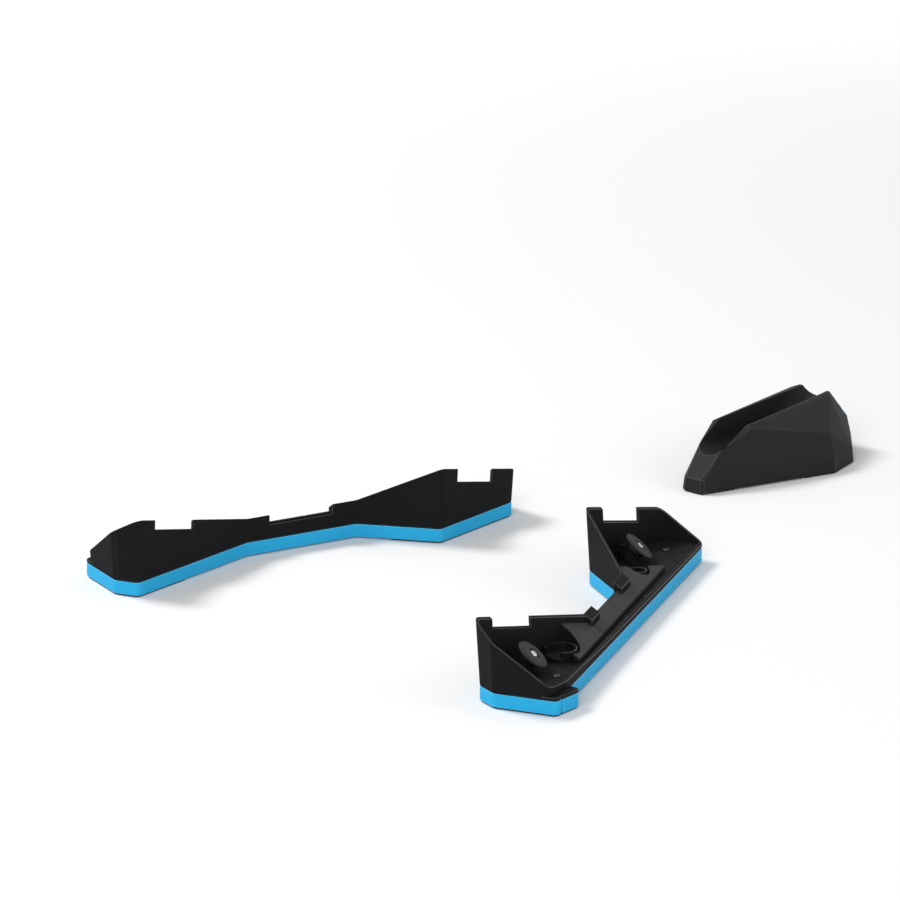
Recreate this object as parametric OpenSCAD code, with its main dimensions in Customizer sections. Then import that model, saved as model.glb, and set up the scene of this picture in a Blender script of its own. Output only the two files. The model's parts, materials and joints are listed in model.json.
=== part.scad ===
// Fore-and-aft motion plates for a direct-drive bike trainer, with the front wheel block.
// X runs from the rear of the set towards the wheel block, Y to the left, Z up.
// The floor is z = 0, and the set's length and width are centred on the origin.

/* [Plate layout] */
// Distance from the centre line to the waist's inner edge, at mid length
waist_y = 249.25; // [240:0.25:258]
// Angle between a plate's diagonal and the travel line
plate_turn = 21.3; // [20:0.1:22.5]
// Width of the waist at mid length, measured along Y
waist_w = 38.65; // [36:0.05:42]
// Angle between the outer edge and the travel line
edge_turn = 20.65; // [19:0.05:22.5]
// Distance from the centre line to the rear lobe's inner wall
rear_lobe_y = 278; // [272:0.5:284]
// Distance from the centre line to the front lobe's inner wall
front_lobe_y = 122.5; // [116:0.5:130]
// Reach of the rear end behind mid length
rear_reach = 286.7; // [278:0.1:294]
// Reach of the front end ahead of mid length
front_reach = 292.5; // [286:0.5:298]
// Length of the rear lobe's end corner along X
rear_corner = 26.2; // [22:0.1:30]
// Width of the whole rear end, from inner wall to outer corner
rear_end_w = 107.8; // [104:0.1:112]
// Length of the outer corner block at the rear
corner_block_l = 44.7; // [40:0.1:50]
// Start of the front lobe's inner wall
front_lobe_x = 127.3; // [122:0.1:134]
// Front end of the waist
waist_front_x = 73.4; // [68:0.1:80]

/* [Base] */
// Height of the blue base
base_h = 17.4; // [16:0.1:20]
// Wall of the base
base_wall = 3.2; // [2.5:0.1:4]
// Floor of the base
base_floor = 3; // [2:0.1:3.2]
// Thickness of the rubber floor pads
foot_t = 2; // [1.5:0.1:3]
// Inset of the floor pads from the base's edge
foot_inset = 2.2; // [1:0.1:4]
// Gap between base and tray
tray_gap = 1.2; // [0.8:0.1:2]

/* [Tray] */
// Wall of the tray
wall = 3.5; // [2.8:0.1:4.5]
// Floor of the tray
tray_floor = 3.2; // [2.5:0.1:4]
// Height of the sloping rim above the base's foot, over the waist's inner edge
rim_z = 49.8; // [44:0.1:54]
// Slope of the rim plane
rim_slope = 34; // [32:0.5:35]
// Outward draft of the walls
draft = 3.5; // [1:0.1:4.5]
// Height of the outer lip above the base's foot, at its front end
lip_z = 23.5; // [22.5:0.1:25]
// Angle at which the outer lip rises to the rear
lip_rise = 2.6; // [2:0.1:3]
// Depth of the waist's hand recess
recess_depth = 12.5; // [8:0.1:13]
// Length of the hand recess
recess_l = 90; // [80:1:100]
// Thickness of the posts at both ends of the hand recess
post_t = 9.2; // [6:0.1:10]
// Depth of the rear wall notch
rear_notch_depth = 12; // [8:0.5:14]
// Depth of the front wall notch
front_notch_depth = 17; // [10:0.5:19]
// Length of each wall notch
notch_l = 70; // [60:1:76]
// Height of the ledge inside the rear end wall, below the rim
ledge_drop = 7; // [5:0.5:10]
// Width of that ledge
ledge_w = 7; // [5:0.5:9]

/* [Deck] */
// Height of the deck over the waist's inner edge
deck_z = 42.5; // [40:0.1:43]
// Width of the deck, measured along the floor
deck_w = 19.4; // [17:0.1:21]
// Thickness of the deck pads, measured upright
pad_rise = 2.4; // [1.6:0.1:3]
// Line between two deck pads
pad_line = 1.2; // [0.8:0.1:2]

/* [Foot cups] */
// Outer radius of the rear foot cup
rear_cup_r = 20.5; // [18:0.5:21]
// Outer radius of the front foot cup
front_cup_r = 12; // [10:0.5:13]
// Wall of a foot cup
cup_wall = 2.6; // [2:0.1:4]
// Floor of a foot cup
cup_floor = 2.6; // [2:0.1:5]
// Height of a foot cup above the tray's floor
cup_h = 12.6; // [10:0.1:16]
// Drop of the cup's wall on the side that faces the rest pad
cup_dip = 7.4; // [4:0.1:9]

/* [Rest pads] */
// Diameter of a rest pad
rest_d = 43; // [38:1:46]
// Thickness of a rest pad at its edge
rest_t = 3.6; // [3:0.1:4.5]
// Radius of the ball that a rest pad turns on
ball_r = 7; // [6:0.1:7.5]
// Depth of the ball below the rim plane
ball_drop = 25; // [23:0.5:28]
// Running gap round the ball
ball_gap = 0.3; // [0.25:0.05:0.5]
// Slope of each rest pad across the diagonal, rear and front
pad_slope = [39.5, 41];
// Lean of each rest pad along the diagonal, rear and front
pad_lean = [4.5, 10.5];
// Radius of the ribbed peg beside the front rest pad
peg_r = 5; // [4:0.1:6]
// Height of the ribbed peg
peg_h = 20; // [14:1:24]

/* [Running gear] */
// Travel of a tray each way
travel = 20; // [14:1:22]
// Radius of a roller
roller_r = 7; // [6.4:0.1:7.2]
// Length of a roller
roller_l = 12; // [9:0.5:14]
// Radius of a roller's axle
axle_r = 2; // [1.6:0.1:2.5]
// Radius of a guide screw
guide_r = 3; // [2.5:0.1:3.5]
// Radius of a return spring
spring_r = 3.6; // [3:0.1:4]
// Length of a return spring at rest
spring_l = 42; // [38:1:44]

/* [Wheel block] */
// Length of the wheel block
block_l = 293; // [280:1:306]
// Widest width of the wheel block
block_w = 194; // [180:1:204]
// Distance from mid length to the wheel block's nose
block_x = 499; // [480:1:520]
// Height of the wheel block's ridges above the plates' foot
ridge_z = 79; // [74:1:84]
// Height of the block's upright plinth
plinth_z = 18; // [14:1:22]
// Wall of the wheel block
block_wall = 4; // [3:0.1:5]
// Radius of the wheel groove's floor, seen from the side
wheel_r = 345; // [335:1:360]
// Distance from the nose to the wheel's middle
wheel_x = 123; // [110:1:135]
// Height of the groove's lowest point
groove_z = 31; // [28:1:36]
// Width of the groove between the ridges
groove_w = 43; // [40:1:46]

/* [Hidden] */

// Sides of the set, as factors on Y
left = 1;
right = -1;

// Longer than anything in the set
big = 1000;
// Gap between pieces that seat on each other
seat = 0.2;
// Gap over a roller
roll_gap = 0.3;
// Steps in the arc of each outline corner
arc_steps = 5;
// Overlap that lets a cut pass a face
over = 1;

tray_z = base_h + tray_gap;
floor_z = tray_z + tray_floor;
block_front_x = block_x + block_l;
// Where the rear lobe's inner wall meets the waist
rear_lobe_x = (waist_y - rear_lobe_y) / tan(plate_turn);

// Plate outline, anticlockwise seen from above: the front end, the outer edge, the rear end,
// the rear lobe, the waist and the front lobe
outline_pts = [
    [front_reach - 18.3, front_lobe_y],
    outer_pt(front_reach),
    outer_pt(block_edge_x()),
    [block_edge_x(), rear_lobe_y + rear_end_w],
    [-rear_reach + rear_corner, rear_lobe_y + rear_end_w],
    [-rear_reach, rear_lobe_y + 32],
    [-rear_reach + 10.2, rear_lobe_y],
    [rear_lobe_x, rear_lobe_y],
    [waist_front_x, waist_y - waist_front_x * tan(plate_turn)],
    [front_lobe_x, front_lobe_y]
];
outline_r = [11, 7, 2, 5, 8, 13, 10, 9, 11, 7];

// The walls cut the rear outer corner short, and leave the floor as a flange round it
wall_corner_x = -rear_reach + rear_corner - 2.3;
wall_pts = [
    outline_pts[0], outline_pts[1], outer_pt(wall_corner_x + 34),
    [wall_corner_x, rear_lobe_y + rear_end_w - 7],
    outline_pts[5], outline_pts[6], outline_pts[7], outline_pts[8], outline_pts[9]
];
wall_r = [11, 7, 14, 14, 13, 10, 9, 11, 7];

// Middle of the whole set along X
mid_x = (block_front_x + rear_tip_x()) / 2;

// Places of the running gear and the fittings on a plate, rear ones first
roller_pts = [
    [-rear_reach + 34.7, rear_lobe_y + 22], out_pt(-99, 12.2),
    out_pt(front_lobe_x - 17.3, -5), [front_reach - 36.5, front_lobe_y + 14]
];
guide_pts = [[-rear_reach + 83.7, rear_lobe_y + 61], [front_reach - 50.5, front_lobe_y + 34]];
spring_pts = [guide_pts[0] + [23, -23], guide_pts[1] + [-62, 23.5]];
post_pts = [[rear_lobe_x - 140.8, rear_lobe_y + 29], [front_lobe_x + 53.3, front_lobe_y + 34.1]];
peg_pt = [front_lobe_x + 51, front_lobe_y + wall + 8.8];
cup_pts = [[rear_lobe_x - 74.3, rear_lobe_y + wall + seat + 19.1], [front_lobe_x + 4.2, front_lobe_y + 75.5]];
cup_radii = [rear_cup_r, front_cup_r];
cup_cut_pts = [cup_pts[0] + [-2, -7.8], cup_pts[1] + [-4.5, -5.5]];
cup_cut_r = [30, 21.5];

// Heights of the running gear above the foot of the base
roller_z = tray_z - roll_gap - roller_r;
pocket_roof_z = base_floor + 1.2;
pocket_top_z = pocket_roof_z + 3;
boss_r = 6.5;
boss_low_z = pocket_top_z + 0.8;
washer_r = 9;
washer_t = 1.4;
nut_t = 1.6;
buffer_t = 5;
lug_x = 3;
spring_z = 12.2;

function cross2(a, b) = a[0] * b[1] - a[1] * b[0];
function unit(v) = v / norm(v);
function left_of(u) = [-u[1], u[0]];
function turned(v, a) = [v[0] * cos(a) - v[1] * sin(a), v[0] * sin(a) + v[1] * cos(a)];
function meet(p, u, q, v) = p + u * cross2(q - p, v) / cross2(u, v);

// A point on the plate's outer edge, and the corner block's front edge
function outer_pt(x) = [x, waist_y + waist_w - x * tan(edge_turn)];
function block_edge_x() = -rear_reach + rear_corner + corner_block_l;

// The rear tip, where the walls lean out over the base
function rear_tip_x() = let (rise = slope_z(outline_pts[5], rim_z) - tray_z)
    min([for (p = rounded_outline(wall_pts, wall_r, -rise * tan(draft))) p[0]]);

// How far outwards of the waist's inner edge a point lies
function out_of(p) = p[0] * sin(plate_turn) + (p[1] - waist_y) * cos(plate_turn);
// Height of a plane that slopes as the rim does, over a point
function slope_z(p, z) = z - out_of(p) * tan(rim_slope);

// A closed outline with every edge moved inwards
function inset(p, d) = let (n = len(p)) [
    for (i = [0:n - 1])
        let (u = unit(p[i] - p[(i + n - 1) % n]), v = unit(p[(i + 1) % n] - p[i]))
            meet(p[i] + left_of(u) * d, u, p[i] + left_of(v) * d, v)
];

// The arc that rounds the corner at b, between the edges from a and to c
function corner_arc(a, b, c, r) =
    let (u = unit(b - a), v = unit(c - b), turn = atan2(cross2(u, v), u * v),
         start = b - u * r * tan(abs(turn) / 2), centre = start + left_of(u) * r * sign(turn))
    [for (k = [0:arc_steps]) centre + turned(start - centre, turn * k / arc_steps)];

// 1 where an outline turns left, -1 where it turns right
function bend(p, i) = let (n = len(p))
    sign(cross2(p[i] - p[(i + n - 1) % n], p[(i + 1) % n] - p[i]));

// An outline moved inwards by d, with its corners rounded and a point along its outer edge
function rounded_outline(pts, radii, d) = let (p = inset(pts, d), n = len(p)) [
    for (i = [0:n - 1]) each [
        each corner_arc(p[(i + n - 1) % n], p[i], p[(i + 1) % n],
                        max(0.8, radii[i] - d * bend(pts, i))),
        if (i == 1) p[1] + (p[2] - p[1]) * 0.63
    ]
];

module placed() {
    translate([-mid_x, 0, foot_t]) children();
}

module on_side(side) {
    if (side == left) children();
    else mirror([0, 1, 0]) children();
}

// The waist's own frame: X along the diagonal, Y outwards
module along_waist() {
    translate([0, waist_y, 0]) rotate([0, 0, -plate_turn]) children();
}

// Everything between two planes that slope as the rim does
module slope_slab(low, high) {
    along_waist() translate([0, 0, low]) rotate([-rim_slope, 0, 0])
        translate([-big / 2, -big / 2, 0]) cube([big, big, (high - low) * cos(rim_slope)]);
}

// Everything above the rim: over the sloping plane, and over the lip that rises to the rear
module above_rim(drop) {
    intersection() {
        slope_slab(rim_z - drop, rim_z + big / 2);
        translate([-38, 0, lip_z - drop]) rotate([0, lip_rise, 0])
            translate([-big / 2, -big / 2, 0]) cube(big);
    }
}

// A solid between an outline at one height and an outline at another. Its end faces are
// split between points a and b, and each half fans out from a corner that sees all of it.
module loft(low, high, z0, z1, a, b) {
    n = len(low);
    halves = [
        [for (i = [0:(b - a + n) % n]) (a + i) % n],
        concat([(a + n - 1) % n, a], [for (i = [0:(a - 2 - b + 2 * n) % n]) (b + i) % n])
    ];
    polyhedron(
        points = [for (p = low) [p[0], p[1], z0], for (p = high) [p[0], p[1], z1]],
        faces = [
            for (f = halves) f,
            for (f = halves) [for (i = [0:len(f) - 1]) n + f[(len(f) - i) % len(f)]],
            for (i = [0:n - 1]) [i, n + i, n + (i + 1) % n, (i + 1) % n]
        ]
    );
}

// The form that the tray's walls follow, with its draft, moved inwards by d
module wall_form(d, z0, z1) {
    low = rounded_outline(wall_pts, wall_r, d - (z0 - tray_z) * tan(draft));
    high = rounded_outline(wall_pts, wall_r, d - (z1 - tray_z) * tan(draft));
    loft(low, high, z0, z1, 2 * (arc_steps + 1), len(low) - arc_steps - 1 - ceil(arc_steps / 2) - 1);
}

// The plate's form without draft
module plate_prism(d, z0, z1) {
    translate([0, 0, z0]) linear_extrude(z1 - z0) polygon(rounded_outline(outline_pts, outline_r, d));
}

module at(pts) {
    for (p = pts) translate([p[0], p[1], 0]) children();
}

module corner_groove() {
    translate([-rear_reach + rear_corner + 11.5, rear_lobe_y + rear_end_w, -over])
        cylinder(r = 2.2, h = floor_z + big / 10, $fn = 24);
}

module slot(l, w, h) {
    for (s = [-1, 1]) translate([s * (l - w) / 2, 0, 0]) cylinder(d = w, h = h, $fn = 32);
    translate([-(l - w) / 2, -w / 2, 0]) cube([l - w, w, h]);
}

module roller_ears() {
    for (s = [-1, 1]) translate([-6, s * (roller_l / 2 + 2.2) - 1.6, base_floor - over])
        cube([12, 3.2, roller_z + 3.2 - base_floor + over]);
}

module across(r, l) {
    rotate([90, 0, 0]) cylinder(r = r, h = l, center = true, $fn = 32);
}

// Length of the slot's clear run for the guide's washer
function pocket_l() = 2 * (travel + washer_r + 1.2);
function anchor_x() = lug_x + spring_l + 2 * seat;

module base(side) color([0.18, 0.66, 0.89]) placed() on_side(side) difference() {
    union() {
        difference() {
            plate_prism(0, 0, base_h);
            plate_prism(base_wall, base_floor, base_h + over);
        }
        at(roller_pts) roller_ears();
        at(guide_pts) {
            translate([-pocket_l() / 2 - 3, -washer_r - 4, base_floor - over])
                cube([pocket_l() + 6, 2 * washer_r + 8, pocket_top_z - base_floor + over]);
            for (s = [-1, 1]) translate([s * (travel + boss_r + 1 + buffer_t + 1.6) - 1.5, -7, base_floor])
                cube([3, 14, base_h - base_floor - 2]);
        }
        at(spring_pts) for (s = [-1, 1]) translate([s * (anchor_x() + 2) - 2, -6, base_floor - over])
            cube([4, 12, base_h - base_floor]);
    }
    corner_groove();
    at(roller_pts) translate([0, 0, roller_z]) across(axle_r + 0.03, roller_l + 14);
    at(guide_pts) {
        translate([0, 0, -over]) slot(pocket_l(), 2 * washer_r + 2, pocket_roof_z + over);
        slot(2 * travel + 2 * guide_r + 2, 2 * guide_r + 0.6, base_h);
    }
}

module floor_pads(side) color([0.07, 0.07, 0.07]) placed() on_side(side) translate([0, 0, -foot_t])
    difference() {
        intersection() {
            plate_prism(foot_inset, 0, foot_t);
            union() {
                translate([-big - rear_reach + 96.7, 0, -over]) cube([big, big, foot_t + 2 * over]);
                translate([waist_front_x + 21.6, front_lobe_y + 58.5, -over]) rotate([0, 0, 17.7])
                    translate([-big / 2, -big, 0]) cube([big, big, foot_t + 2 * over]);
            }
        }
        corner_groove();
        translate([-big / 2 + waist_front_x, 0, -over])
            cube([big / 2, front_lobe_y + 97.5, foot_t + 2 * over]);
        at(guide_pts) translate([0, 0, -over])
            slot(pocket_l() + 2, 2 * washer_r + 4, foot_t + 2 * over);
    }

module axles(side) color([0.72, 0.73, 0.75]) placed() on_side(side)
    at(roller_pts) translate([0, 0, roller_z]) across(axle_r, roller_l + 7.6);

module buffers(side) color([0.08, 0.08, 0.08]) placed() on_side(side)
    at(guide_pts) for (s = [-1, 1])
        translate([s * (travel + boss_r + 0.9 + buffer_t / 2), 0, pocket_top_z])
            translate([-buffer_t / 2, -6, 0]) cube([buffer_t, 12, 7]);

module springs(side) color([0.75, 0.76, 0.78]) placed() on_side(side)
    at(spring_pts) for (s = [-1, 1])
        translate([s * (lug_x + seat + spring_l / 2), 0, spring_z]) rotate([0, 90, 0]) difference() {
            cylinder(r = spring_r, h = spring_l, center = true, $fn = 32);
            cylinder(r = spring_r - 1.2, h = spring_l + 2 * over, center = true, $fn = 32);
        }

module roller(side, i) color([0.86, 0.86, 0.84]) placed() on_side(side)
    translate([roller_pts[i][0], roller_pts[i][1], roller_z]) difference() {
        across(roller_r, roller_l);
        across(axle_r + 0.06, roller_l + 2 * over);
    }

// A notch in a lobe's inner wall, along X from x
module wall_notch(x, y, depth) {
    intersection() {
        translate([x, y - 14, 0]) cube([notch_l, 14 + wall + 2, 2 * rim_z + 20]);
        slope_slab(rim_z - depth, rim_z + big / 2);
    }
}

// The posts' inner ends, measured along the diagonal
recess_ends = [-recess_l / 2 - 2, recess_l / 2 - 2];

module hand_recess() {
    along_waist() translate([0, wall + 0.6, 0]) rotate([90, 0, 0])
        linear_extrude(wall + 12) polygon([
            [recess_ends[0] - 0.6, rim_z + 12], [recess_ends[0], rim_z - recess_depth],
            [recess_ends[1], rim_z - recess_depth], [recess_ends[1] + 0.6, rim_z + 12]
        ]);
}

// Boxes at the waist's ends, where its wall is as thick as a post, grown by d
module recess_posts(d) {
    ends = [rear_lobe_x / cos(plate_turn), recess_ends[0],
            recess_ends[1], waist_front_x / cos(plate_turn)];
    along_waist() for (i = [0, 2]) translate([ends[i] - d, -big / 10, 0])
        cube([ends[i + 1] - ends[i] + 2 * d, big / 10 + post_t + d, big / 4]);
}

// Thin raised lines across the gutter, in line with the gaps between the deck pads
module gutter_lines() {
    along_waist() for (i = [1, 2, 3])
        translate([pad_ends[i] - pad_line / 2, wall + seat + deck_w + 0.6, floor_z - over])
            cube([pad_line, waist_w - wall - deck_w - 4.5, over + 0.8]);
}

module tray(side) color([0.13, 0.13, 0.13]) placed() on_side(side) difference() {
    union() {
        plate_prism(0, tray_z, floor_z);
        difference() {
            wall_form(0, tray_z, 2 * rim_z + 10);
            difference() {
                wall_form(wall, floor_z, 2 * rim_z + 10 + over);
                recess_posts(0);
            }
            above_rim(0);
            wall_notch(-rear_reach + 38.7, rear_lobe_y, rear_notch_depth);
            wall_notch(front_lobe_x + 29.2, front_lobe_y, front_notch_depth);
            hand_recess();
        }
        end_ledge();
        gutter_lines();
        at(guide_pts) translate([0, 0, boss_low_z])
            cylinder(r = boss_r, h = tray_z - boss_low_z + over, $fn = 48);
        at(spring_pts) translate([-lug_x, -5, spring_z - 4])
            cube([2 * lug_x, 10, tray_z - spring_z + 4 + over]);
    }
    corner_groove();
    at(guide_pts) translate([0, 0, -over]) cylinder(r = guide_r + 0.1, h = floor_z + 2 * over, $fn = 32);
}

// The ledge along the inside of the rear end wall
module end_ledge() {
    difference() {
        intersection() {
            wall_form(wall - 0.5, floor_z - over, 2 * rim_z);
            translate([-rear_reach, rear_lobe_y + 4, 0]) rotate([0, 0, 18.7])
                translate([-2 * ledge_w, -over, floor_z - over])
                    cube([ledge_w * 3 + wall, rear_end_w - 20, 2 * rim_z]);
        }
        above_rim(ledge_drop);
    }
}

// The deck's plan at e inside the plate's edge, moved inwards by d at its free edges
function deck_outline(e, d) = let (p = inset(outline_pts, e), u = unit(p[9] - p[8])) [
    [cup_pts[0][0] + 25 + d, p[7][1]], p[7], p[8], meet(p[8], u, [0, cup_pts[1][1] + 2.5 + d], [1, 0]),
    [cup_pts[1][0] + 47 - d, cup_pts[1][1] + 2.5 + d],
    out_pt(cup_pts[1][0] + 48.5 - d, deck_w + wall + seat - d),
    out_pt(cup_pts[0][0] - 2.3 + d, deck_w + wall + seat - d),
    [cup_pts[0][0] - 5.7 + d, cup_pts[0][1] + 21]
];

// A block of the deck's plan that follows the draft of the tray's walls, up to a height
module deck_block(d, z0, z1) {
    e = wall + seat + d / 2;
    difference() {
        loft(deck_outline(e - (z0 - tray_z) * tan(draft), d),
             deck_outline(e - (z1 - tray_z) * tan(draft), d), z0, z1, 6, 2);
        for (i = [0, 1]) translate([cup_cut_pts[i][0], cup_cut_pts[i][1], z0 - over])
            cylinder(r = cup_cut_r[i] + d, h = z1 - z0 + 2 * over, $fn = 96);
        recess_posts(seat + d / 2);
    }
}

// A point at x that lies t outwards of the waist's inner edge
function out_pt(x, t) = [x, waist_y + t / cos(plate_turn) - x * tan(plate_turn)];

module deck(side) color([0.12, 0.12, 0.12]) placed() on_side(side) difference() {
    deck_block(0, floor_z, 2 * rim_z);
    slope_slab(deck_z - pad_rise, deck_z + big / 2);
}

// The lines that part the deck pads, measured along the diagonal
pad_ends = [-220, -73, 6.5, 85, 260];

module deck_pad(side, i) color([0.25, 0.25, 0.25]) placed() on_side(side) intersection() {
    deck_block(0.8, floor_z, 2 * rim_z);
    slope_slab(deck_z - pad_rise, deck_z);
    along_waist() translate([pad_ends[i] + pad_line / 2, -big / 2, 0])
        cube([pad_ends[i + 1] - pad_ends[i] - pad_line, big, big]);
}

module cup(side, i) color([0.09, 0.09, 0.09]) placed() on_side(side)
    translate([cup_pts[i][0], cup_pts[i][1], floor_z]) {
        r = cup_radii[i];
        difference() {
            cylinder(r = r, h = cup_h, $fn = 96);
            translate([0, 0, cup_floor + (i == 0 ? 0 : 5)]) cylinder(r = r - cup_wall, h = cup_h, $fn = 96);
            if (i == 1) translate([0, 0, cup_floor]) cylinder(r = r / 2, h = cup_h, $fn = 64);
            translate([-2 * r, -2 * r, cup_h - cup_dip]) cube([1.3 * r, 4 * r, cup_h]);
            if (i == 0) translate([-2 * r, -2 * r, -over])
                cube([4 * r, 2 * r + rear_lobe_y + wall + seat - cup_pts[0][1], cup_h + 2 * over]);
        }
    }

function ball_z(i) = slope_z(post_pts[i], rim_z) - ball_drop;

// The posts under the rest pads, and the ribbed peg beside the front one
module posts(side) color([0.16, 0.16, 0.16]) placed() on_side(side) {
    for (i = [0, 1]) translate([post_pts[i][0], post_pts[i][1], 0]) {
        rotate_extrude($fn = 64) polygon([
            [0, floor_z], [13.5, floor_z], [13.5, floor_z + 1.6], [11, floor_z + 2.2],
            [10.6, floor_z + 3.2], [7.5, floor_z + 3.6], [6, floor_z + 4.6],
            [3.2, ball_z(i) - ball_r], [0, ball_z(i) - ball_r + 1]
        ]);
        translate([0, 0, floor_z + 4]) cylinder(r = 3, h = ball_z(i) - floor_z - 4, $fn = 32);
        translate([0, 0, ball_z(i)]) sphere(r = ball_r, $fn = 48);
    }
    translate([peg_pt[0], peg_pt[1], floor_z]) rotate_extrude($fn = 48) polygon(concat(
        [[0, 0], [peg_r, 0], [peg_r, 2]],
        [for (k = [0:3]) let (z = 2 + k * (peg_h - 2) / 4) each [
            [peg_r - 1.2, z + 0.6], [peg_r - 1.2, z + 2.2], [peg_r, z + 2.8], [peg_r, z + 4]
        ]],
        [[peg_r - 1.2, peg_h], [0, peg_h]]
    ));
}

// A rest pad's own frame: the ball's centre, with Z square to the pad
module at_pad(i) {
    translate([post_pts[i][0], post_pts[i][1], ball_z(i)])
        rotate([0, 0, -plate_turn]) rotate([-pad_slope[i], 0, 0]) rotate([0, pad_lean[i], 0]) children();
}

// Height of the pad's underside above the ball's centre, and the recess in its face
pad_low = 4.4;
pad_recess_r = 8;
pad_recess = 1.2;

module rest_pad(side, i) color([0.2, 0.2, 0.2]) placed() on_side(side) at_pad(i) difference() {
    rotate_extrude($fn = 96) polygon([
        [0, -3.4], [9.4, -3.4], [10.4, -2.4], [10.8, pad_low - 1], [13, pad_low],
        [rest_d / 2 - 1, pad_low], [rest_d / 2, pad_low + 0.8], [rest_d / 2, pad_low + rest_t - 1.8],
        [rest_d / 2 - 0.8, pad_low + rest_t - 0.7], [rest_d / 2 - 3, pad_low + rest_t],
        [rest_d / 2 - 6, pad_low + rest_t + 0.6], [0, pad_low + rest_t + 0.6]
    ]);
    sphere(r = ball_r + ball_gap, $fn = 64);
    rotate([0, -pad_lean[i], 0]) rotate([pad_slope[i], 0, 0]) mirror([0, 0, 1])
        cylinder(r1 = 0.1, r2 = 16, h = 19, $fn = 48);
    translate([0, 0, pad_low + rest_t + 0.6 - pad_recess]) cylinder(r = pad_recess_r, h = 4, $fn = 64);
}

module pad_screw(side, i) color([0.8, 0.8, 0.81]) placed() on_side(side) at_pad(i)
    translate([0, 0, pad_low + rest_t + 0.6 - pad_recess]) difference() {
        rotate_extrude($fn = 64) polygon([[0, 0], [4.6, 0], [4.6, 0.9], [3.8, 1.5], [0, 1.7]]);
        translate([0, 0, 0.8]) cylinder(r = 1.9, h = 3, $fn = 6);
    }

module guide_screws(side) color([0.78, 0.78, 0.8]) placed() on_side(side)
    at(guide_pts) difference() {
        union() {
            translate([0, 0, pocket_roof_z - washer_t - nut_t - 0.5])
                cylinder(r = guide_r, h = floor_z - pocket_roof_z + washer_t + nut_t + 0.5 + over, $fn = 32);
            translate([0, 0, floor_z]) rotate_extrude($fn = 48)
                polygon([[0, 0], [5, 0], [5, 1.4], [4, 2.6], [0, 3.1]]);
        }
        translate([0, 0, floor_z + 1.2]) cylinder(r = 2, h = 3, $fn = 6);
    }

module guide_washers(side) color([0.7, 0.7, 0.72]) placed() on_side(side)
    at(guide_pts) translate([0, 0, pocket_roof_z - washer_t - 0.3]) difference() {
        cylinder(r = washer_r, h = washer_t, $fn = 48);
        translate([0, 0, -over]) cylinder(r = guide_r + 0.05, h = washer_t + 2 * over, $fn = 32);
    }

module guide_nuts(side) color([0.66, 0.66, 0.68]) placed() on_side(side)
    at(guide_pts) translate([0, 0, pocket_roof_z - washer_t - nut_t - 0.3]) difference() {
        cylinder(r = 5.2, h = nut_t, $fn = 6);
        translate([0, 0, -over]) cylinder(r = guide_r + 0.05, h = nut_t + 2 * over, $fn = 32);
    }

// The wheel block's corner points on its left side, from the nose to the front
half_w = block_w / 2;
block_foot_pts = [
    [0, 13], [3, 18], [block_l - 103, half_w], [block_l - 50, half_w - 9], [block_l, half_w - 49]
];
block_top_pts = [
    [37, 18.5, 52], [66, 22.5, 64.5], [87, 25, ridge_z - 2.5], [84, 31, ridge_z - 6],
    [block_l - 22, 25, ridge_z + 1], [block_l - 31, 33, ridge_z - 2],
    [block_l - 90, half_w - 20, 48], [block_l - 51, half_w - 28, 41.5],
    [block_l - 4, half_w - 55, 45], [block_l - 1, half_w - 50, plinth_z + 2]
];

// A foot point moved towards the middle of the block
function moved_in(p, d) = [
    p[0] + d * (p[0] < 2 ? 1 : p[0] < 5 ? 0.9 : p[0] > block_l - 2 ? -1 : p[0] > block_l - 60 ? -0.3 : 0.1),
    p[1] - d * (p[0] < 2 ? 0.3 : p[0] > block_l - 60 && p[0] < block_l - 2 ? 1.1 : 1)
];

// The same points at a height, on both sides
function block_ring(z, d) = [
    for (s = [-1, 1], p = block_foot_pts) [block_x + moved_in(p, d)[0], s * moved_in(p, d)[1], z]
];

// The wheel block's outer form, moved inwards by d
module block_form(d) {
    pts = concat(
        block_ring(0, d), block_ring(plinth_z, d + 1.5),
        [for (s = [-1, 1], p = block_top_pts)
            [block_x + p[0] + (1 - 2 * p[0] / block_l) * d, s * (p[1] - d * 0.7), p[2] - d * 1.2]]
    );
    hull() polyhedron(points = pts, faces = [for (i = [2:len(pts) - 1]) [0, i - 1, i]]);
}

// The wheel's rim and tyre, lying in the groove, grown by d
module wheel(d) {
    r = wheel_r + d;
    half = groove_w / 2 + d;
    steps = 10;
    translate([block_x + wheel_x, 0, groove_z + wheel_r]) rotate([90, 0, 0]) rotate_extrude($fn = 180)
        polygon([
            [150, -half - 10], [r - half, -half],
            for (k = [1:steps - 1]) [r - half + half * sin(180 * k / steps), -half * cos(180 * k / steps)],
            [r - half, half], [150, half + 10]
        ]);
}

// Bosses that hold the screws of the block's base plate
block_screw_pts = [
    [45, 0], [block_l - 108, 27 - half_w], [block_l - 108, half_w - 27],
    [block_l - 31, 67 - half_w], [block_l - 31, half_w - 67]
];

// The hollow inside the block, round the core under the groove and the screw bosses
module block_hollow() {
    core_y = groove_w / 2 + block_wall;
    difference() {
        translate([0, 0, -over]) block_form(block_wall);
        translate([block_x - over, -core_y, groove_z - block_wall])
            cube([block_l + 2 * over, 2 * core_y, big / 2]);
        for (p = block_screw_pts) translate([block_x + p[0], p[1], 2.6 + seat])
            cylinder(r = 5, h = 60, $fn = 32);
    }
}

module block_shell() color([0.15, 0.15, 0.15]) placed() difference() {
    block_form(0);
    wheel(0);
    block_hollow();
    for (p = block_screw_pts) translate([block_x + p[0], p[1], -over])
        cylinder(r = 1.6, h = 14, $fn = 24);
    difference() {
        block_inlay_form(0);
        block_form(inlay_t);
    }
}

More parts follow.
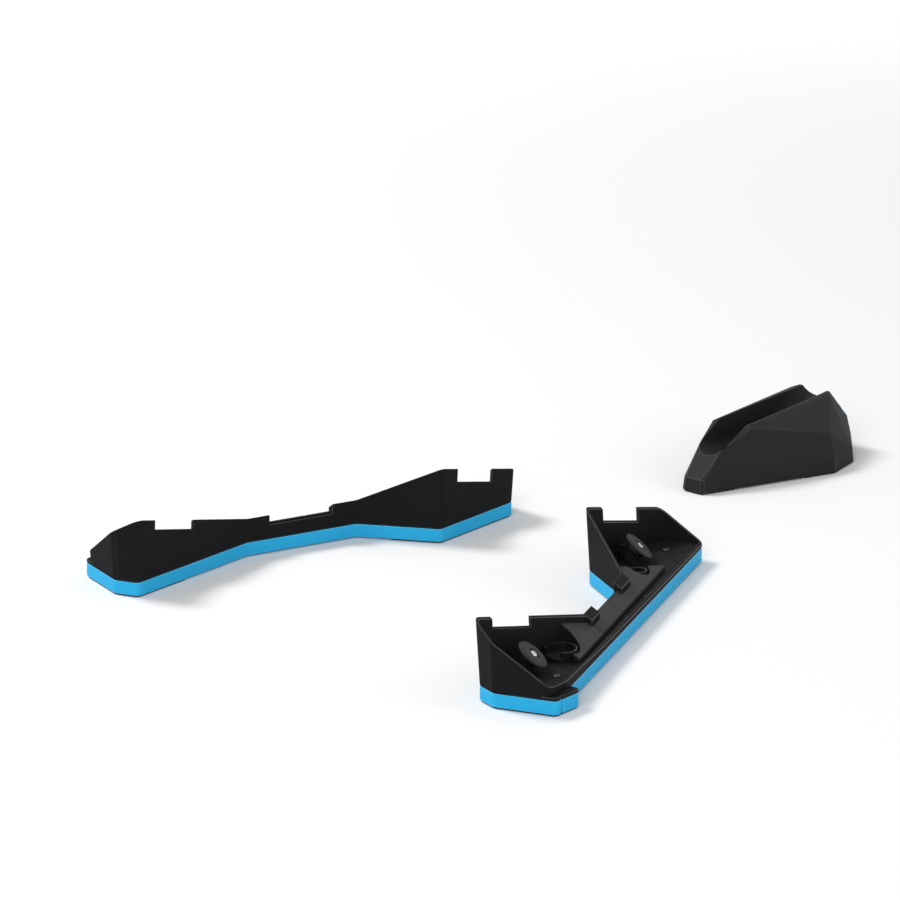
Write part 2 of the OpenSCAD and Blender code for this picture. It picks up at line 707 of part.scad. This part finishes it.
module block_base_plate() color([0.1, 0.1, 0.1]) placed() difference() {
    intersection() {
        block_form(block_wall + 0.4);
        translate([block_x, -big / 2, 0]) cube([block_l, big, 2.6]);
    }
    for (p = block_screw_pts) translate([block_x + p[0], p[1], -over])
        cylinder(r = 1.8, h = 6, $fn = 24);
}

module block_feet() color([0.06, 0.06, 0.06]) placed() difference() {
    translate([0, 0, -foot_t]) linear_extrude(foot_t) polygon(concat(
        [for (p = block_foot_pts) [block_x + moved_in(p, 2)[0], -moved_in(p, 2)[1]]],
        [for (i = [len(block_foot_pts) - 1:-1:0])
            [block_x + moved_in(block_foot_pts[i], 2)[0], moved_in(block_foot_pts[i], 2)[1]]]
    ));
    translate([block_x + 48, -big / 2, -foot_t - over]) cube([block_l - 193, big, foot_t + 2 * over]);
    for (p = block_screw_pts) translate([block_x + p[0], p[1], -foot_t - over])
        cylinder(r = 3.8, h = foot_t + 2 * over, $fn = 24);
}

module block_screws() color([0.72, 0.73, 0.75]) placed()
    for (p = block_screw_pts) translate([block_x + p[0], p[1], -1.4]) difference() {
        union() {
            cylinder(r = 3, h = 1.4, $fn = 32);
            cylinder(r = 1.45, h = 13, $fn = 24);
        }
        translate([0, 0, -over]) cylinder(r = 1.2, h = 1.8, $fn = 6);
    }

// A plain band let into the block's front
inlay_t = 1.6;
inlay_z = [50, 61];

module block_inlay_form(gap) {
    translate([block_x + block_l - 12 + gap, -half_w, inlay_z[0] + gap])
        cube([40, 2 * half_w, inlay_z[1] - inlay_z[0] - 2 * gap]);
}

module block_inlays() color([0.18, 0.66, 0.89]) placed() difference() {
    intersection() {
        block_form(0);
        block_inlay_form(0.1);
    }
    block_form(inlay_t - 0.1);
}

base(left);  // left_base
floor_pads(left);  // left_floor_pads
axles(left);  // left_axles
buffers(left);  // left_buffers
springs(left);  // left_springs
roller(left, 0);  // left_roller_rear
roller(left, 1);  // left_roller_mid_rear
roller(left, 2);  // left_roller_mid_front
roller(left, 3);  // left_roller_front
tray(left);  // left_tray
deck(left);  // left_deck
deck_pad(left, 0);  // left_deck_pad_rear
deck_pad(left, 1);  // left_deck_pad_mid_rear
deck_pad(left, 2);  // left_deck_pad_mid_front
deck_pad(left, 3);  // left_deck_pad_front
cup(left, 0);  // left_cup_rear
cup(left, 1);  // left_cup_front
posts(left);  // left_posts
guide_screws(left);  // left_guide_screws
guide_washers(left);  // left_guide_washers
guide_nuts(left);  // left_guide_nuts
rest_pad(left, 0);  // left_rest_pad_rear
rest_pad(left, 1);  // left_rest_pad_front
pad_screw(left, 0);  // left_pad_screw_rear
pad_screw(left, 1);  // left_pad_screw_front
base(right);  // right_base
floor_pads(right);  // right_floor_pads
axles(right);  // right_axles
buffers(right);  // right_buffers
springs(right);  // right_springs
roller(right, 0);  // right_roller_rear
roller(right, 1);  // right_roller_mid_rear
roller(right, 2);  // right_roller_mid_front
roller(right, 3);  // right_roller_front
tray(right);  // right_tray
deck(right);  // right_deck
deck_pad(right, 0);  // right_deck_pad_rear
deck_pad(right, 1);  // right_deck_pad_mid_rear
deck_pad(right, 2);  // right_deck_pad_mid_front
deck_pad(right, 3);  // right_deck_pad_front
cup(right, 0);  // right_cup_rear
cup(right, 1);  // right_cup_front
posts(right);  // right_posts
guide_screws(right);  // right_guide_screws
guide_washers(right);  // right_guide_washers
guide_nuts(right);  // right_guide_nuts
rest_pad(right, 0);  // right_rest_pad_rear
rest_pad(right, 1);  // right_rest_pad_front
pad_screw(right, 0);  // right_pad_screw_rear
pad_screw(right, 1);  // right_pad_screw_front
block_shell();
block_base_plate();
block_feet();
block_screws();
block_inlays();
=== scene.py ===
# Two fore-and-aft motion plates, with the front wheel block
import json
import math

import bmesh
import bpy
import numpy as np
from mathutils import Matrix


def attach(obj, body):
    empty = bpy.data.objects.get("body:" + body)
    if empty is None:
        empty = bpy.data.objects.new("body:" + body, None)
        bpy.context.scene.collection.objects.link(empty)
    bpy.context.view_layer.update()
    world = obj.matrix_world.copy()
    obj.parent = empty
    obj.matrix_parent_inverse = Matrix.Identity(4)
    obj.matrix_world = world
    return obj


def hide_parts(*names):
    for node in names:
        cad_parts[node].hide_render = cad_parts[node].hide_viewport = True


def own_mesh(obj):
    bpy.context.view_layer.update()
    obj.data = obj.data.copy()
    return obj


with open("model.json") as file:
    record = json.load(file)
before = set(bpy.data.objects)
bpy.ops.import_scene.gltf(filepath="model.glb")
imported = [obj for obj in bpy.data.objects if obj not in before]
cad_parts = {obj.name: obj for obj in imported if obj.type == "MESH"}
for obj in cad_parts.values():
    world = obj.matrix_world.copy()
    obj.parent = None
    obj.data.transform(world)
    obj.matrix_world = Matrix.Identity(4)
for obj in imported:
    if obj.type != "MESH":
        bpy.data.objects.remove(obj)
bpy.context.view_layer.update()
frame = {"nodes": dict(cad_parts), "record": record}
cadNodes = frame["nodes"]
sides = ("left", "right")
print("frame loaded:", len(cadNodes), "nodes")


cameraSetup = {
    "place": (-5.044577, -4.0595, 2.2505),
    "tilt": 71.8036,            # degrees from straight down
    "turn": -49.7435,           # degrees about Z
    "lens": 211.38,
    "sensor": 36.0,
    "reach": (0.1, 100.0),      # the nearest and the farthest that it sees
}

lampSetup = {
    "key": {"place": (-1.5, 4.0, 5.2), "aim": (0.0, 0.0, 0.0), "size": 2.2, "power": 255.0},
    "fill": {"place": (-4.8, -2.2, 2.6), "aim": (0.0, -0.1, 0.0), "size": 3.2, "power": 100.0},
    "rim": {"place": (1.0, -3.0, 1.6), "aim": (0.0, -0.3, 0.0), "size": 1.6, "power": 12.0},
}

worldLight = 0.48
floorSetup = {
    "half": 30.0,
    "drop": 0.0002,             # below the feet, so that no two faces lie in one plane
    "colour": (0.93, 0.93, 0.93),
    "mottle": (0.7, 2.0, 0.5),  # the noise's scale, detail and roughness
    "brighter": 0.01,           # how much the mottle adds to the colour
    "lift": 0.01,
    "farLift": 0.60,            # makes up for the lamps, which fade over the distance
    "farRange": (1.2, 20.0),    # squared distance from the middle, over which it grows
}


def makeCamera(setup):
    data = bpy.data.cameras.new("camera")
    data.lens, data.sensor_width = setup["lens"], setup["sensor"]
    data.clip_start, data.clip_end = setup["reach"]
    camera = bpy.data.objects.new("camera", data)
    camera.location = setup["place"]
    camera.rotation_euler = (math.radians(setup["tilt"]), 0.0, math.radians(setup["turn"]))
    bpy.context.scene.collection.objects.link(camera)
    bpy.context.scene.camera = camera


def makeLamp(name, setup):
    data = bpy.data.lights.new(name, "AREA")
    data.shape, data.size, data.energy = "DISK", setup["size"], setup["power"]
    lamp = bpy.data.objects.new(name, data)
    lamp.location = setup["place"]
    aim = np.array(setup["aim"]) - np.array(setup["place"])
    lamp.rotation_euler = (math.atan2(math.hypot(aim[0], aim[1]), -aim[2]), 0.0,
                           math.atan2(aim[1], aim[0]) - math.pi / 2)
    bpy.context.scene.collection.objects.link(lamp)


class Wire:
    # a socket, so that sums and products of sockets read as plain maths
    def __init__(self, graph, socket):
        self.graph, self.socket = graph, socket

    def calc(self, kind, *others):
        terms = dict(enumerate((self, *others)))
        return self.graph.add("ShaderNodeMath", {"operation": kind}, terms)

    def __add__(self, other): return self.calc("ADD", other)
    def __radd__(self, other): return self.calc("ADD", other)
    def __sub__(self, other): return self.calc("SUBTRACT", other)
    def __mul__(self, other): return self.calc("MULTIPLY", other)
    def __rmul__(self, other): return self.calc("MULTIPLY", other)

    def __rsub__(self, other):
        return self.graph.add("ShaderNodeMath", {"operation": "SUBTRACT"}, {0: other, 1: self})

    def between(self, low, high):
        # 0 below low, 1 above high, smooth in between
        return self.graph.add("ShaderNodeMapRange", {"interpolation_type": "SMOOTHSTEP"},
                              {"Value": self, "From Min": low, "From Max": high})


# A Mix node's colour sockets go by number, because its other kinds have the same names
mixSockets = {"first": 6, "second": 7, "result": 2}


class Graph:
    def __init__(self, tree):
        self.tree = tree
        tree.nodes.clear()

    def add(self, kind, settings=None, inputs=None, out=0):
        # makes a node: its settings first, then the values or links of its sockets
        made = self.tree.nodes.new(kind)
        for key, value in (settings or {}).items():
            setattr(made, key, value)
        for key, value in (inputs or {}).items():
            if isinstance(value, Wire):
                self.tree.links.new(value.socket, made.inputs[key])
            else:
                made.inputs[key].default_value = value
        return Wire(self, made.outputs[out]) if made.outputs else None

    def place(self):
        return self.add("ShaderNodeTexCoord", out="Object")

    def noise(self, scale, detail, roughness, at=None):
        return self.add("ShaderNodeTexNoise", None,
                        {"Vector": at or self.place(), "Scale": scale, "Detail": detail,
                         "Roughness": roughness}, "Fac")

    def stretched(self, factors):
        return self.add("ShaderNodeMapping", None, {"Vector": self.place(), "Scale": factors})

    def blend(self, amount, first, second):
        return self.add("ShaderNodeMix", {"data_type": "RGBA"},
                        {"Factor": amount, mixSockets["first"]: first,
                         mixSockets["second"]: second}, mixSockets["result"])

    def bump(self, height, depth):
        return self.add("ShaderNodeBump", None, {"Height": height, "Distance": depth})

    def seenRay(self):
        # 1 for what the camera, a reflection or a clear piece shows, 0 for light on the object
        path = {name: self.add("ShaderNodeLightPath", None, None, name)
                for name in ("Is Camera Ray", "Is Glossy Ray", "Is Transmission Ray")}
        first = path["Is Camera Ray"].calc("MAXIMUM", path["Is Glossy Ray"])
        return first.calc("MAXIMUM", path["Is Transmission Ray"])

    def finish(self, sockets):
        shader = self.add("ShaderNodeBsdfPrincipled", None, sockets)
        self.add("ShaderNodeOutputMaterial", None, {"Surface": shader})


def rgba(colour):
    return (*colour, 1.0)


white = rgba((1.0, 1.0, 1.0))
noiseMiddle = 0.5           # the mean of a noise


def newMaterial(name):
    material = bpy.data.materials.new(name)
    material.use_nodes = True
    return material, Graph(material.node_tree)


# Textured injection moulding: a fine spark-eroded grain, a slow mottle from the flow of the
# melt, faint handling marks, and a little dust on what faces up
mouldings = {
    "blackMoulding": {"deep": (0.0070, 0.0071, 0.0076), "pale": (0.0120, 0.0121, 0.0128),
                      "grain": 1500.0, "grainDepth": 0.00012, "roughness": 0.62, "spread": 0.10,
                      "gloss": 0.05, "dust": 0.02},
    "blueMoulding": {"deep": (0.026, 0.405, 0.725), "pale": (0.031, 0.435, 0.765),
                     "grain": 1300.0, "grainDepth": 0.00008, "roughness": 0.42, "spread": 0.08,
                     "gloss": 0.06, "dust": 0.01, "paintedGapShade": True},
    "deckMoulding": {"deep": (0.0300, 0.0303, 0.0314), "pale": (0.0420, 0.0423, 0.0436),
                     "grain": 1100.0, "grainDepth": 0.00018, "roughness": 0.60, "spread": 0.08,
                     "gloss": 0.14, "dust": 0.05},
    "cupMoulding": {"deep": (0.0060, 0.0061, 0.0064), "pale": (0.0100, 0.0101, 0.0106),
                    "grain": 1700.0, "grainDepth": 0.00010, "roughness": 0.42, "spread": 0.10,
                    "gloss": 0.16, "dust": 0.03},
    # the edge finishes are lighter than their mouldings: a painted highlight on rounded edges,
    # where they catch light
    "blackEdge": {"deep": (0.0260, 0.0263, 0.0272), "pale": (0.0380, 0.0383, 0.0395),
                  "grain": 1800.0, "grainDepth": 0.00004, "roughness": 0.36, "spread": 0.08,
                  "gloss": 0.40, "dust": 0.02},
    "blueEdge": {"deep": (0.060, 0.480, 0.800), "pale": (0.070, 0.510, 0.840),
                 "grain": 1500.0, "grainDepth": 0.00004, "roughness": 0.32, "spread": 0.06,
                 "gloss": 0.40, "dust": 0.01},
    "blockMoulding": {"deep": (0.0140, 0.0141, 0.0145), "pale": (0.0205, 0.0206, 0.0211),
                      "grain": 1300.0, "grainDepth": 0.00014, "roughness": 0.56, "spread": 0.08,
                      "gloss": 0.10, "dust": 0.02},
    "blockEdge": {"deep": (0.0300, 0.0302, 0.0308), "pale": (0.0420, 0.0423, 0.0430),
                  "grain": 1600.0, "grainDepth": 0.00004, "roughness": 0.40, "spread": 0.08,
                  "gloss": 0.30, "dust": 0.02},
    "rollerMoulding": {"deep": (0.60, 0.60, 0.57), "pale": (0.70, 0.70, 0.66),
                       "grain": 900.0, "grainDepth": 0.00005, "roughness": 0.38, "spread": 0.06,
                       "gloss": 0.45, "dust": 0.04},
}

# What all mouldings share. A noise is its scale, detail and roughness, and a band is where a
# mask starts and where it is full
mouldingSkin = {
    "flow": (9.0, 4.0, 0.55),
    "grain": (2.0, 0.6),            # its scale is the moulding's own
    "pits": 0.6,                    # their scale, as a share of the grain's
    "shares": (0.6, 0.4),           # flow and grain in the colour, grain and pits in the bump
    "rubs": (1.0, 5.0, 0.7), "rubStretch": (40.0, 260.0, 260.0), "rubBand": (0.60, 0.72),
    "rubColour": 0.02, "rubShine": 0.05,
    "dust": (55.0, 6.0, 0.7), "dustBand": (0.35, 0.75), "dustUp": (0.55, 1.0),
    "dustColour": (0.45, 0.44, 0.42), "dustDull": 1.5,
}

# The base's upper side lies under the tray: painted shade for the gap between them, dark from
# this height in metres on
paintedGapShadeLook = {"above": 0.0185, "fade": 0.0003, "up": (0.95, 0.99),
             "colour": (0.0060, 0.0060, 0.0064)}


def makeMoulding(name, look):
    material, graph = newMaterial(name)
    skin = mouldingSkin
    most, rest = skin["shares"]
    flow = graph.noise(*skin["flow"])
    grain = graph.noise(look["grain"], *skin["grain"])
    pits = graph.add("ShaderNodeTexVoronoi", {"feature": "F1"},
                     {"Vector": graph.place(), "Scale": look["grain"] * skin["pits"]}, "Distance")
    rubs = graph.noise(*skin["rubs"], graph.stretched(skin["rubStretch"]))
    rubs = rubs.between(*skin["rubBand"])
    up = graph.add("ShaderNodeSeparateXYZ", None,
                   {0: graph.add("ShaderNodeNewGeometry", None, None, "Normal")}, "Z")
    specks = graph.noise(*skin["dust"]).between(*skin["dustBand"])
    dust = up.between(*skin["dustUp"]) * specks * look["dust"]
    colour = graph.blend(flow * most + grain * rest, rgba(look["deep"]), rgba(look["pale"]))
    colour = graph.blend(dust + rubs * skin["rubColour"], colour, rgba(skin["dustColour"]))
    # painted shade: the base's up-facing faces above that height are darkened to stand for the
    # shadow under the tray
    if look.get("paintedGapShade"):
        height = graph.add("ShaderNodeSeparateXYZ", None, {0: graph.place()}, "Z")
        start = paintedGapShadeLook["above"]
        gapShadeMask = up.between(*paintedGapShadeLook["up"]) * height.between(start, start + paintedGapShadeLook["fade"])
        colour = graph.blend(gapShadeMask, colour, rgba(paintedGapShadeLook["colour"]))
    spread = (flow - noiseMiddle) * look["spread"]
    graph.finish({
        "Base Color": colour,
        "Roughness": (spread + look["roughness"] + dust * skin["dustDull"]
                      - rubs * skin["rubShine"]),
        "Specular IOR Level": look["gloss"],
        "Normal": graph.bump(grain * most + pits * rest, look["grainDepth"]),
    })
    return material


# Soft rubber: a matte skin with a slow mottle, tiny pores and scuffs
rubbers = {
    "footRubber": {"deep": (0.0050, 0.0050, 0.0052), "pale": (0.0100, 0.0100, 0.0104),
                   "pores": 1500.0, "poreDepth": 0.00010, "roughness": 0.72, "gloss": 0.20},
    "restRubber": {"deep": (0.0110, 0.0112, 0.0118), "pale": (0.0165, 0.0167, 0.0175),
                   "pores": 1800.0, "poreDepth": 0.00006, "roughness": 0.48, "gloss": 0.25},
}

rubberSkin = {
    "mottle": (60.0, 5.0, 0.6), "mottleDull": 0.12,
    "pores": (3.0, 0.7),            # their scale is the rubber's own
    "scuffs": (1.0, 4.0, 0.6), "scuffStretch": (180.0, 700.0, 300.0),
    "scuffBand": (0.58, 0.75), "scuffShine": 0.06,
    "shares": (0.7, 0.3),           # mottle and scuffs in the colour
}


def makeRubber(name, look):
    material, graph = newMaterial(name)
    skin = rubberSkin
    most, rest = skin["shares"]
    mottle = graph.noise(*skin["mottle"])
    pores = graph.noise(look["pores"], *skin["pores"])
    scuffs = graph.noise(*skin["scuffs"], graph.stretched(skin["scuffStretch"]))
    scuffs = scuffs.between(*skin["scuffBand"])
    colour = graph.blend(mottle * most + scuffs * rest, rgba(look["deep"]), rgba(look["pale"]))
    graph.finish({
        "Base Color": colour,
        "Roughness": (mottle * skin["mottleDull"] + look["roughness"]
                      - scuffs * skin["scuffShine"]),
        "Specular IOR Level": look["gloss"],
        "Normal": graph.bump(pores, look["poreDepth"]),
    })
    return material


# Plated steel: turned or drawn lines, soft blotches in the plating
steels = {
    "platedSteel": {"deep": (0.50, 0.51, 0.53), "pale": (0.66, 0.67, 0.69),
                    "lines": (90.0, 4200.0, 4200.0), "roughness": 0.26},
    "blackenedSteel": {"deep": (0.040, 0.041, 0.044), "pale": (0.085, 0.086, 0.090),
                       "lines": (300.0, 2600.0, 2600.0), "roughness": 0.42},
}

steelSkin = {
    "lines": (1.0, 3.0, 0.6), "lineDull": 0.16, "lineDepth": 0.00003,
    "blotches": (140.0, 4.0, 0.6), "blotchDull": 0.08,
    "polish": 0.10,                 # taken off again, so that the mean stays the steel's own
}


def makeSteel(name, look):
    material, graph = newMaterial(name)
    skin = steelSkin
    lines = graph.noise(*skin["lines"], graph.stretched(look["lines"]))
    blotches = graph.noise(*skin["blotches"])
    graph.finish({
        "Base Color": graph.blend(blotches, rgba(look["deep"]), rgba(look["pale"])),
        "Metallic": 1.0,
        "Roughness": (lines * skin["lineDull"] + blotches * skin["blotchDull"]
                      + look["roughness"] - skin["polish"]),
        "Normal": graph.bump(lines, skin["lineDepth"]),
    })
    return material


def makeStage():
    material, graph = newMaterial("studioFloor")
    mottle = graph.noise(*floorSetup["mottle"])
    dull = floorSetup["colour"]
    bright = tuple(share + floorSetup["brighter"] for share in dull)
    matte = graph.add("ShaderNodeBsdfDiffuse", None,
                      {"Color": graph.blend(mottle, rgba(dull), rgba(bright))})
    spot = graph.add("ShaderNodeVectorMath", {"operation": "DOT_PRODUCT"},
                     {0: graph.place(), 1: graph.place()}, "Value")
    far = spot.between(*floorSetup["farRange"]) * floorSetup["farLift"]
    glow = graph.add("ShaderNodeEmission", None,
                     {"Color": white, "Strength": graph.seenRay() * (far + floorSetup["lift"])})
    both = graph.add("ShaderNodeAddShader", None, {0: matte, 1: glow})
    graph.add("ShaderNodeOutputMaterial", None, {"Surface": both})
    half, low = floorSetup["half"], -floorSetup["drop"]
    mesh = bpy.data.meshes.new("studioFloor")
    mesh.from_pydata([(-half, -half, low), (half, -half, low), (half, half, low),
                      (-half, half, low)], [], [(0, 1, 2, 3)])
    mesh.materials.append(material)
    floor = bpy.data.objects.new("studioFloor", mesh)
    bpy.context.scene.collection.objects.link(floor)
    world = bpy.data.worlds.new("studio")
    world.use_nodes = True
    bpy.context.scene.world = world
    sky = Graph(world.node_tree)
    level = sky.seenRay() * (1.0 - worldLight) + worldLight
    back = sky.add("ShaderNodeBackground", None, {"Color": white, "Strength": level})
    sky.add("ShaderNodeOutputWorld", None, {"Surface": back})


makeCamera(cameraSetup)
for lampName, lampValues in lampSetup.items():
    makeLamp(lampName, lampValues)
makeStage()
bpy.context.scene.view_settings.view_transform = "Standard"
print("camera, lamps and floor ready")

finishes = {name: makeMoulding(name, look) for name, look in mouldings.items()}
finishes.update({name: makeRubber(name, look) for name, look in rubbers.items()})
finishes.update({name: makeSteel(name, look) for name, look in steels.items()})
print("materials ready:", len(finishes))


# The finish of each node, whose name starts with its side if it has one
nodeFinish = {
    "base": "blueMoulding", "floor_pads": "footRubber", "axles": "platedSteel",
    "buffers": "footRubber", "springs": "platedSteel",
    "roller_rear": "rollerMoulding", "roller_mid_rear": "rollerMoulding",
    "roller_mid_front": "rollerMoulding", "roller_front": "rollerMoulding",
    "tray": "blackMoulding", "deck": "blackMoulding", "deck_pad_rear": "deckMoulding",
    "deck_pad_mid_rear": "deckMoulding", "deck_pad_mid_front": "deckMoulding",
    "deck_pad_front": "deckMoulding", "cup_rear": "cupMoulding", "cup_front": "cupMoulding",
    "posts": "blackMoulding", "guide_screws": "blackenedSteel", "guide_washers": "platedSteel",
    "guide_nuts": "platedSteel", "rest_pad_rear": "restRubber", "rest_pad_front": "restRubber",
    "pad_screw_rear": "platedSteel", "pad_screw_front": "platedSteel",
    "block_shell": "blockMoulding", "block_base_plate": "blackMoulding",
    "block_feet": "footRubber", "block_screws": "platedSteel", "block_inlays": "blueMoulding",
}

# Rounded edges on the pieces that show: their width in metres, the least angle in degrees
# between two faces that makes a crease, and the finish of what is rounded, which on the base,
# tray and wheel block is a painted highlight
padEdge = (0.0002, 25.0, "deckMoulding")
cupEdge = (0.0004, 25.0, "cupMoulding")
edges = {
    "base": (0.0008, 25.0, "blueEdge"), "tray": (0.0006, 25.0, "blackEdge"),
    "deck_pad_rear": padEdge, "deck_pad_mid_rear": padEdge, "deck_pad_mid_front": padEdge,
    "deck_pad_front": padEdge, "cup_rear": cupEdge, "cup_front": cupEdge,
    "block_shell": (0.0005, 6.0, "blockEdge"),
}

softening = {
    "merged": 0.00002,          # metres, within which two corners are one
    "flat": 0.02,               # degrees: a curved wall keeps all of its own faces
    "rounded": 25.0,            # degrees: flatter creases stay crisp and aren't rounded
    "diagonal": 0.045,          # metres, see softenNode
    "steps": 2,                 # faces across a rounded edge
    "evening": 60,              # how much a large face's direction counts in the shading
}


def plainName(nodeName):
    return nodeName.split("_", 1)[1] if nodeName.split("_")[0] in sides else nodeName


def bodyOf(nodeName):
    return next(body for body, members in frame["record"]["behaviour"]["bodies"].items()
                if nodeName in members)


def paint(piece, finish):
    piece.data.materials.clear()
    piece.data.materials.append(finishes[finish])


def addPiece(name, mesh, body, finish):
    piece = bpy.data.objects.new(name, mesh)
    bpy.context.scene.collection.objects.link(piece)
    paint(piece, finish)
    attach(piece, body)
    return piece


def roundEdges(piece, width):
    bevel = piece.modifiers.new("roundEdges", "BEVEL")
    bevel.width, bevel.segments = width, softening["steps"]
    bevel.limit_method = "WEIGHT"
    bevel.use_clamp_overlap = False
    bevel.material = 1          # the piece's second finish, which is the edges': on the base, tray and wheel block a painted highlight
    evened = piece.modifiers.new("evenNormals", "WEIGHTED_NORMAL")
    evened.weight, evened.keep_sharp = softening["evening"], True


def softenNode(nodeName, width, leastAngle, edgeFinishAndHighlight, slot):
    # the node's own form with its doubles merged, its flat faces joined, its outer edges rounded
    # and its inner corners left sharp
    work = bmesh.new()
    work.from_mesh(cadNodes[nodeName].data)
    bmesh.ops.remove_doubles(work, verts=work.verts, dist=softening["merged"])
    bmesh.ops.dissolve_limit(work, angle_limit=math.radians(softening["flat"]), verts=work.verts,
                             edges=work.edges, use_dissolve_boundaries=False)
    weight = work.edges.layers.float.new("bevel_weight_edge")
    limit, rounded = math.radians(leastAngle), math.radians(softening["rounded"])
    longest = softening["diagonal"]
    for edge in work.edges:
        first, second = edge.verts
        run = math.hypot(first.co.x - second.co.x, first.co.y - second.co.y)
        rise = abs(first.co.z - second.co.z)
        # on the wheel block a long edge that both runs and rises only halves a facet
        if nodeName == "block_shell" and run > longest and rise > longest:
            continue
        # the flutes of a hollow, such as the wheel groove, run smoothly into each other
        angle = edge.calc_face_angle(0.0)
        if angle > (limit if edge.is_convex else rounded):
            edge.smooth = False
            edge[weight] = float(edge.is_convex and angle > rounded)
    mesh = bpy.data.meshes.new(nodeName + "_soft")
    work.to_mesh(mesh)
    work.free()
    mesh.polygons.foreach_set("use_smooth", np.ones(len(mesh.polygons), bool))
    piece = addPiece(nodeName + "_soft", mesh, bodyOf(nodeName),
                     nodeFinish[plainName(nodeName)])
    # the second finish: on the base, tray and wheel block a painted highlight along the rounded
    # edges
    piece.data.materials.append(finishes[edgeFinishAndHighlight])
    roundEdges(piece, width)
    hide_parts(nodeName)


slots = {part["node"]: part["material_slot"] for part in frame["record"]["subparts"]}
for nodeName, node in cadNodes.items():
    paint(node, nodeFinish[plainName(nodeName)])
for nodeName in cadNodes:
    if plainName(nodeName) in edges:
        softenNode(nodeName, *edges[plainName(nodeName)], slots[nodeName])
print("nodes painted and softened")


# Each return spring, with lengths in metres
springWire = {
    "turns": 9.0,
    "wire": 0.00075,            # the wire's radius
    "steps": 24,                # points along each turn
    "around": 8,                # points around the wire
    "closed": 0.25,             # how fast x grows at the ends, where open turns have 1 more
    "kept": 0.5,                # share of the free length that is left at full travel
    "levelDigits": 5,           # decimals to which a sleeve's end is read
    "levelReach": 0.0001,       # how near to it a corner of the sleeve's end lies
}


def tubeMesh(name, path, radius, around):
    # a round section carried along a path: path + r * (cos a * side + sin a * up), where side and
    # up are square to the path's own direction
    along = np.gradient(path, axis=0)
    along /= np.linalg.norm(along, axis=1)[:, None]
    side = np.cross(along, np.array([1.0, 0.0, 0.0]))
    side /= np.linalg.norm(side, axis=1)[:, None]
    up = np.cross(along, side)
    a = np.linspace(0.0, 2 * math.pi, around, endpoint=False)[None, :, None]
    ring = radius * (np.cos(a) * side[:, None] + np.sin(a) * up[:, None])
    points = (path[:, None] + ring).reshape(-1, 3)
    count = len(path)
    i, j = np.meshgrid(np.arange(count - 1), np.arange(around), indexing="ij")
    k = (j + 1) % around
    quads = np.stack([i * around + j, i * around + k, (i + 1) * around + k,
                      (i + 1) * around + j], -1)
    faces = quads.reshape(-1, 4).tolist()
    faces += [list(range(around))[::-1], list(range((count - 1) * around, count * around))]
    mesh = bpy.data.meshes.new(name)
    mesh.from_pydata(points.tolist(), [], faces)
    work = bmesh.new()
    work.from_mesh(mesh)
    bmesh.ops.recalc_face_normals(work, faces=work.faces)
    work.to_mesh(mesh)
    work.free()
    mesh.shade_smooth()
    return mesh


def makeSprings(side):
    # coils that wind round X inside the sleeves that mark their places; x grows fast in the open
    # turns and slowly in the closed ones at both ends
    mesh = cadNodes[side + "_springs"].data
    flat = np.empty(len(mesh.vertices) * 3)
    mesh.vertices.foreach_get("co", flat)
    corners = flat.reshape(-1, 3)
    levels = np.unique(np.round(corners[:, 0], springWire["levelDigits"])).reshape(-1, 2)
    wire, turns = springWire["wire"], springWire["turns"]
    for index, (start, stop) in enumerate(levels):
        ring = corners[np.abs(corners[:, 0] - start) < springWire["levelReach"]]
        low, high = ring.min(0), ring.max(0)
        centre, radius = (low + high) / 2, (high[2] - low[2]) / 2 - wire
        t = np.linspace(0.0, 1.0, int(turns * springWire["steps"]) + 1)
        angle = 2 * math.pi * turns * t
        opened = np.clip(t * turns, 0, 1) * np.clip((1 - t) * turns, 0, 1)
        run = np.cumsum(springWire["closed"] + opened)
        run = (run - run[0]) / (run[-1] - run[0])
        path = np.stack([start + wire + run * (stop - start - 2 * wire),
                         centre[1] + radius * np.cos(angle),
                         centre[2] + radius * np.sin(angle)], 1)
        coil = tubeMesh(f"{side}Coil{index + 1}", path, wire, springWire["around"])
        piece = addPiece(f"{side}_coil_{index + 1}", coil, "set", "platedSteel")
        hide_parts(side + "_springs")
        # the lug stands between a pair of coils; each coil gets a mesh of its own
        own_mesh(piece)


for side in sides:
    makeSprings(side)
print("springs wound")
